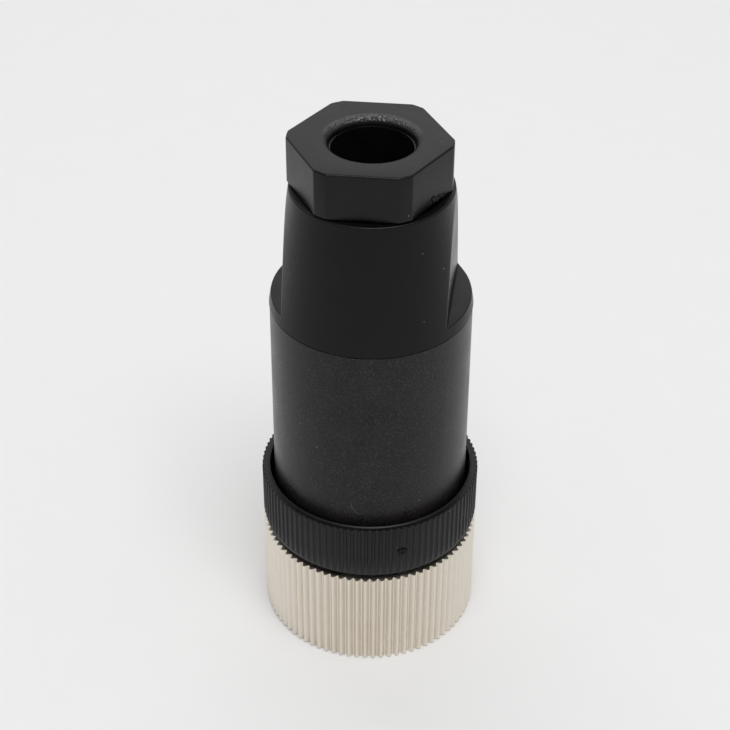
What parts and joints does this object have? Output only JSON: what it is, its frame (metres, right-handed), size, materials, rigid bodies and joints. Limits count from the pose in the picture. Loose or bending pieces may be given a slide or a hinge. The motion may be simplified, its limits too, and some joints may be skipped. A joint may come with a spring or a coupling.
{
  "type": "circular cable connector",
  "caption": "Straight round socket connector with a knurled coupling nut, a ribbed grip ring, a tapered sleeve and a hexagon cable gland.",
  "frame": {"origin": "centre of the coupling nut's bottom face, which the connector stands on", "axes": "+Z along the connector's axis towards the cable end; +Y through the coding keyway of the insert; the wrench flats face nearly along X"},
  "size_m": [0.02, 0.02, 0.0501],
  "materials": {
    "nickel_plated_brass": "nickel plated, satin",
    "black_housing_plastic": "moulded, fine matt texture",
    "black_carrier_plastic": "moulded, satin",
    "black_gland_plastic": "moulded, satin",
    "insulator_plastic": "moulded, satin",
    "gold_plated_brass": "gold plated",
    "screw_steel": "zinc plated",
    "seal_rubber": "nitrile rubber"
  },
  "bodies": {
    "insert_body": {"contact_carrier": "black_carrier_plastic", "contact_insert": "insulator_plastic", "contact_1": "gold_plated_brass", "contact_2": "gold_plated_brass", "contact_3": "gold_plated_brass", "contact_4": "gold_plated_brass", "terminal_screws": "screw_steel", "face_seal": "seal_rubber", "housing_seal": "seal_rubber"},
    "nut_body": {"coupling_nut": "nickel_plated_brass"},
    "seal_body": {"cable_seal": "seal_rubber"},
    "housing_body": {"housing": "black_housing_plastic"},
    "cage_body": {"clamp_cage": "black_gland_plastic"},
    "gland_body": {"gland_nut": "black_gland_plastic"}
  },
  "joints": [
    {"name": "nut_spin", "type": "hinge", "parent": "insert_body", "child": "nut_body", "pos_m": [0, 0, 0.005], "axis": [0, 0, 1], "continuous": true},
    {"name": "housing_travel", "type": "slide", "parent": "insert_body", "child": "seal_body", "axis": [0, 0, 1], "range_m": [0, 0.0055]},
    {"name": "housing_turn", "type": "hinge", "parent": "seal_body", "child": "housing_body", "pos_m": [0, 0, 0.02], "axis": [0, 0, 1], "range_deg": [0, 1980]},
    {"name": "gland_travel", "type": "slide", "parent": "housing_body", "child": "cage_body", "axis": [0, 0, 1], "range_m": [0, 0.006]},
    {"name": "gland_turn", "type": "hinge", "parent": "cage_body", "child": "gland_body", "pos_m": [0, 0, 0.045], "axis": [0, 0, 1], "range_deg": [0, 2160]}
  ],
  "couplings": [
    {"joint": "housing_turn", "follows": "housing_travel", "rad_per_m": 6283.2},
    {"joint": "gland_turn", "follows": "gland_travel", "rad_per_m": 6283.2}
  ]
}
